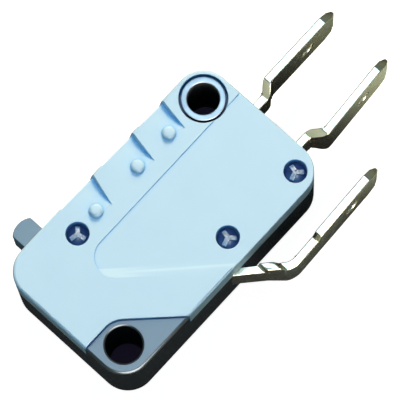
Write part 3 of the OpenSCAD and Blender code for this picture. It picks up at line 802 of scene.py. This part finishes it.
# %% [markdown]
# The bush
# The upper hole is lined with a metal tube pressed into the base. Its upper rim is
# rolled outward a little, and shows as a broad pale ring. A Screw modifier on a
# drawn profile would make it too. Here the profile is turned point by point, so
# that its rounds get as many points as they need.

# %% Profile of the bush
BUSH_WALL = 0.46 * MM
RIM_REACH = 0.13 * MM
RIM_DEPTH = 0.30 * MM
RIM_ROUND = 0.10 * MM
ROUND_STEPS = 6


def rim_round(middle_r, middle_z, first, last):
    """Points of a round of the rim, as radius and height, from one angle to another."""
    turns = [math.radians(first + (last - first) * k / ROUND_STEPS) for k in range(ROUND_STEPS + 1)]
    return [(middle_r + RIM_ROUND * math.cos(t), middle_z + RIM_ROUND * math.sin(t)) for t in turns]


bush_low, bush_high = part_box("mounting_bush")
bush_radius = (bush_high.x - bush_low.x) / 2
bore = bush_radius - BUSH_WALL
rim = bush_radius + RIM_REACH
round_z = bush_high.z - RIM_ROUND
bush_foot = [(bore, bush_low.z), (bush_radius, bush_low.z), (bush_radius, bush_high.z - RIM_DEPTH)]
outer_round = rim_round(rim - RIM_ROUND, round_z, -60, 90)
inner_round = rim_round(bore + RIM_ROUND, round_z, 90, 180)
bush_profile = bush_foot + outer_round + inner_round
print("points on the profile", len(bush_profile), "bore radius", round(bore / MM, 3), "mm")

# %% Bush with a rolled rim
BUSH_STEPS = 96


def turned(profile, axis, steps):
    """A closed profile of radius and height, turned round an upright axis."""
    mesh = bmesh.new()
    rings = []
    for step in range(steps):
        turn = 2 * math.pi * step / steps
        way = Vector((math.cos(turn), math.sin(turn), 0))
        rings.append([mesh.verts.new(axis + way * r + Vector((0, 0, z))) for r, z in profile])
    for ring, following in zip(rings, rings[1:] + rings[:1]):
        for k in range(len(profile)):
            mesh.faces.new((ring[k - 1], following[k - 1], following[k], ring[k]))
    return mesh


bush_middle = (bush_low + bush_high) / 2
bush_axis = Vector((bush_middle.x, bush_middle.y, 0))
bush_mesh = turned(bush_profile, bush_axis, BUSH_STEPS)
bush = put_in_scene("rolled_bush", finished_mesh("rolled_bush", bush_mesh))
bush.data.shade_smooth()
bush.data.set_sharp_from_angle(angle=SHARP_TURN)
bush.data.materials.append(satin)
stand_in(bush, "mounting_bush", "case")
print("bush in mm", in_mm(bush.dimensions))

# %% [markdown]
# The spring
# A tension spring pulls the rocker's nose towards the end of the contact arm, and
# snaps the arm over when its line of pull passes the pivot. The solid of it is
# faceted, so it is wound again here: one path of loop, coil and loop, and a ring
# of points carried along it. A curve with a bevel would do too, but the rings
# keep the wire round through the tight ends of the hooks.

# %% Stretches of the wire
WIRE = 0.3 * MM
COIL_RADIUS = 0.7 * MM
LOOP_RADIUS = 0.75 * COIL_RADIUS
HOOK_ROOM = 0.6 * WIRE
COIL_IN = 0.94 * (2 * COIL_RADIUS + WIRE)
TURNS = 10
NOSE = Vector((5.99, 4.13, 5.15)) * MM
ARM_TILT = math.radians(2.399)
HOOK_OUT = 4.66 * MM

arm_joint = next(joint for joint in frame["joints"] if joint["name"] == "arm_pivot")
hook = Vector(arm_joint["pos_m"]) + Vector((math.cos(ARM_TILT), math.sin(ARM_TILT), 0)) * HOOK_OUT
pull = hook - NOSE
coil_length = pull.length - 2 * COIL_IN


def nose_loop(turn):
    """Loop through the rocker's nose, in the XZ plane."""
    return Vector((LOOP_RADIUS * (1 - math.cos(turn)) - HOOK_ROOM, 0, -LOOP_RADIUS * math.sin(turn)))


def arm_loop(turn):
    """Loop through the arm, in the XY plane."""
    reach = pull.length - LOOP_RADIUS * (1 - math.cos(turn)) + HOOK_ROOM
    return Vector((reach, LOOP_RADIUS * math.sin(turn), 0))


def coil(share):
    """The coil, from 0 at its start to 1 at its end."""
    turn = 2 * math.pi * TURNS * share
    reach = COIL_IN + coil_length * share
    return Vector((reach, COIL_RADIUS * math.sin(turn), COIL_RADIUS * math.cos(turn)))


print("spring between its hooks", round(pull.length / MM, 2), "mm")

# %% Path of the wire
TURN_STEPS = 36
COIL_STEPS = TURNS * TURN_STEPS
LOOP_STEPS = 24
BRIDGE_STEPS = 16
LOOP_START = math.radians(-75)
LOOP_SWEEP = math.radians(225)


def bridge(first, second):
    """A smooth run from the end of one stretch of the path to the start of the next."""
    way_out = (first[-1] - first[-2]).normalized() * COIL_IN / 3
    way_in = (second[1] - second[0]).normalized() * COIL_IN / 3
    ends = (first[-1], first[-1] + way_out, second[0] - way_in, second[0])
    return interpolate_bezier(*ends, BRIDGE_STEPS)[1:-1]


loop_turns = [LOOP_START + LOOP_SWEEP * step / LOOP_STEPS for step in range(LOOP_STEPS + 1)]
first_loop = [nose_loop(turn) for turn in reversed(loop_turns)]
turns = [coil(step / COIL_STEPS) for step in range(COIL_STEPS + 1)]
last_loop = [arm_loop(turn) for turn in loop_turns]
wire_path = first_loop + bridge(first_loop, turns) + turns + bridge(turns, last_loop) + last_loop
print("points on the wire", len(wire_path))

# %% Wound spring
WIRE_SIDES = 14


def tube(path, radius):
    """A closed tube along the path, each ring turned as little as possible from the last."""
    mesh = bmesh.new()
    angles = [2 * math.pi * k / WIRE_SIDES for k in range(WIRE_SIDES)]
    side = Vector((0, 1, 0))
    rings = []
    for before, here, after in zip(path[:1] + path, path, path[1:] + path[-1:]):
        way = (after - before).normalized()
        side = (side - way * side.dot(way)).normalized()
        across = way.cross(side)
        spots = [here + radius * (side * math.cos(a) + across * math.sin(a)) for a in angles]
        rings.append([mesh.verts.new(spot) for spot in spots])
    for ring, following in zip(rings, rings[1:]):
        for k in range(WIRE_SIDES):
            after_k = (k + 1) % WIRE_SIDES
            mesh.faces.new((ring[k], ring[after_k], following[after_k], following[k])).smooth = True
    mesh.faces.new(list(reversed(rings[0])))
    mesh.faces.new(rings[-1])
    return mesh


along_pull = Matrix.Rotation(math.atan2(pull.y, pull.x), 4, "Z")
spring = put_in_scene("wound_spring", finished_mesh("wound_spring", tube(wire_path, WIRE / 2)))
spring.data.transform(Matrix.Translation(NOSE) @ along_pull)
spring.data.materials.append(wire)
stand_in(spring, "snap_spring", "arm")
solid_low, solid_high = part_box("snap_spring")
print("solid spring in mm", in_mm(solid_high - solid_low))
print("wound spring in mm", in_mm(spring.dimensions))

# %% [markdown]
# Last measure
# The dressed switch has to stay the size of the solids, so both boxes are
# printed: the solids' at the start, the dressed switch's here.

# %% Sizes
visual_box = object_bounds()
print("visual box in mm", in_mm(high - low for low, high in zip(*visual_box)))
